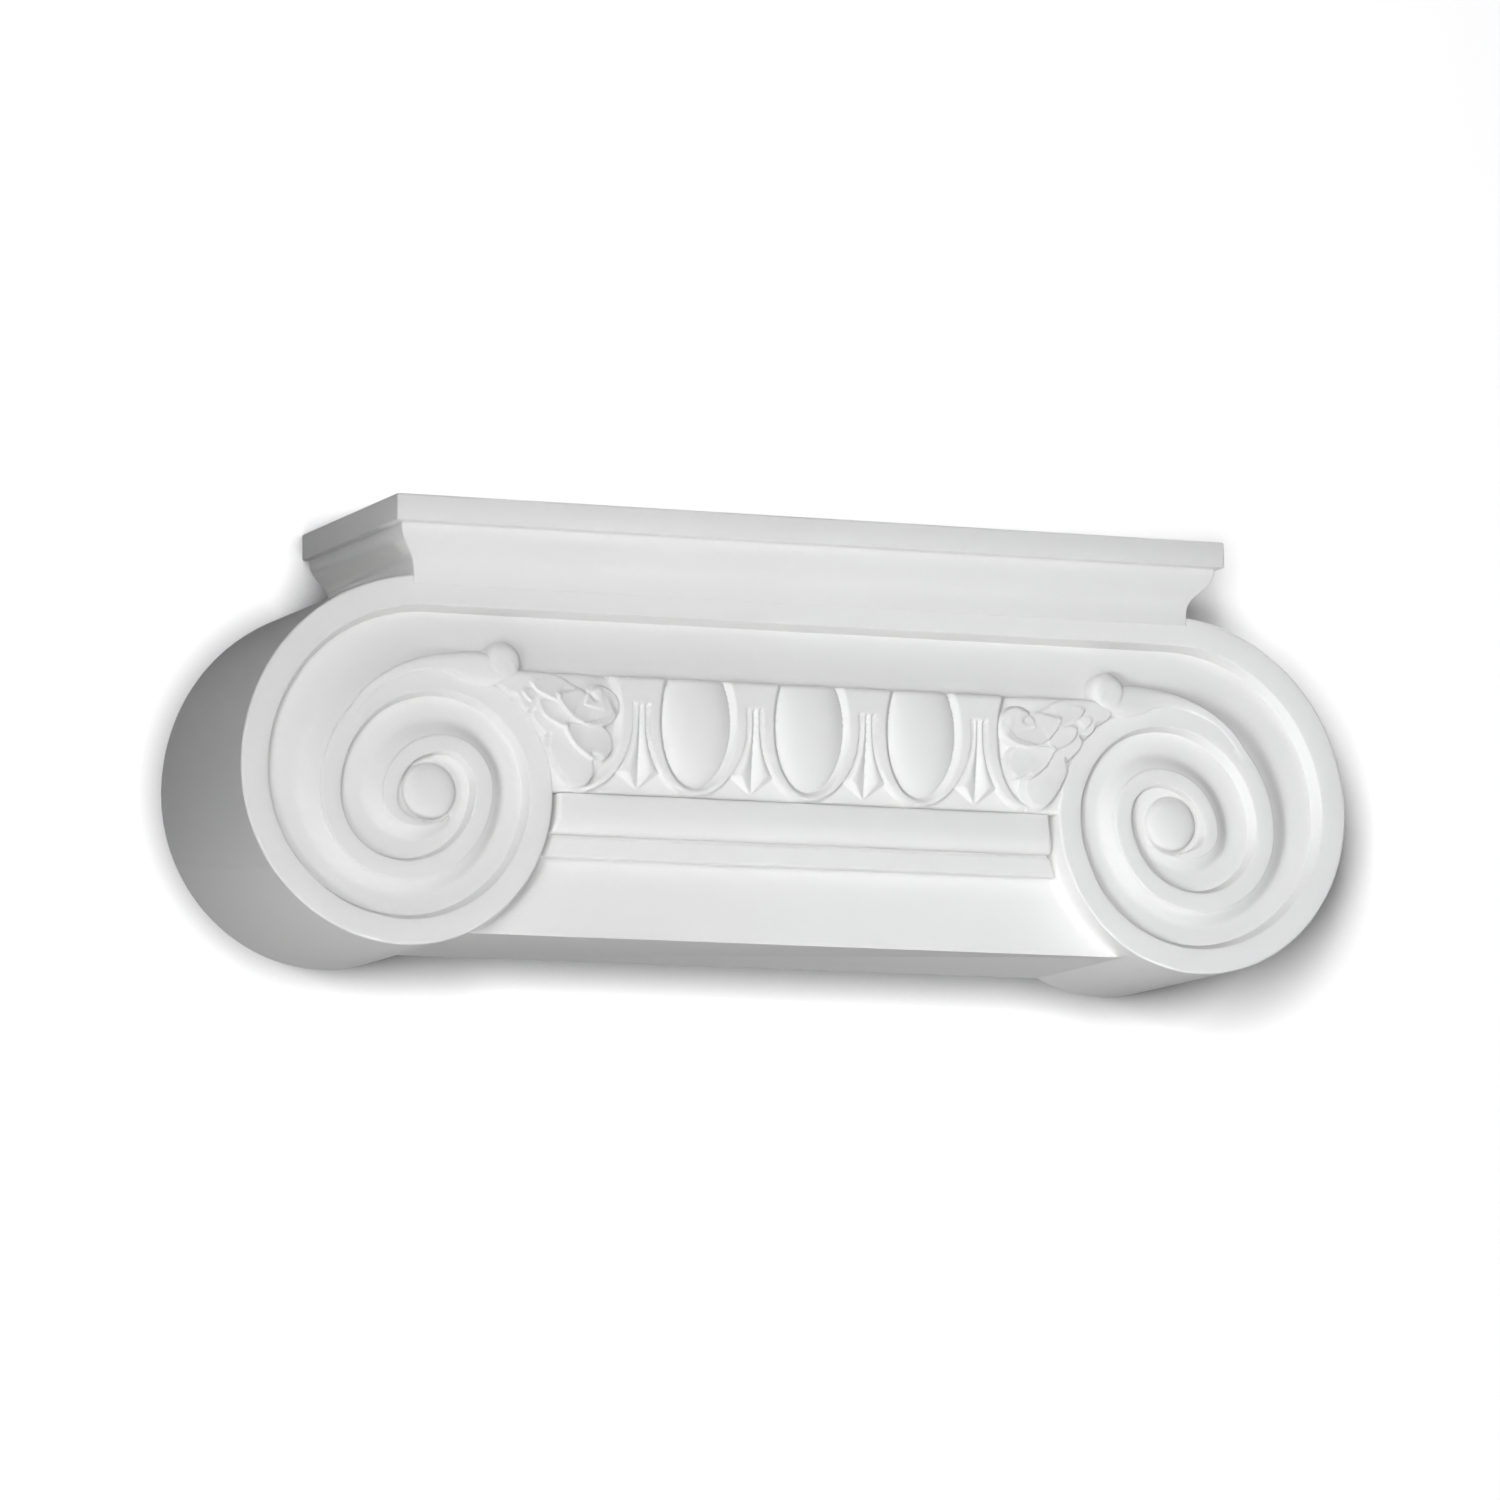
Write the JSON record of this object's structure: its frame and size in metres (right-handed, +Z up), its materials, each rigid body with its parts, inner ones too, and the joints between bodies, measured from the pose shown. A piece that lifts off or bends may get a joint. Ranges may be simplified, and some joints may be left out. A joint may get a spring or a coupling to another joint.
{
  "type": "ionic pilaster capital",
  "caption": "White cast ionic pilaster capital: moulded abacus, scroll volutes, egg and dart band with corner leaves, astragal and fillet, flat at the back.",
  "frame": {"origin": "on the surface it stands on, under the middle of the bounding box: the two volutes touch z = 0", "axes": "+Z up towards the abacus, +X towards the right volute as seen from the carved front, which faces -Y; the flat back faces +Y"},
  "size_m": [0.4096, 0.092, 0.15],
  "materials": {
    "white_cast": "matt white factory primer on a smooth casting"
  },
  "bodies": {
    "root": {"capital": "white_cast"}
  },
  "joints": []
}
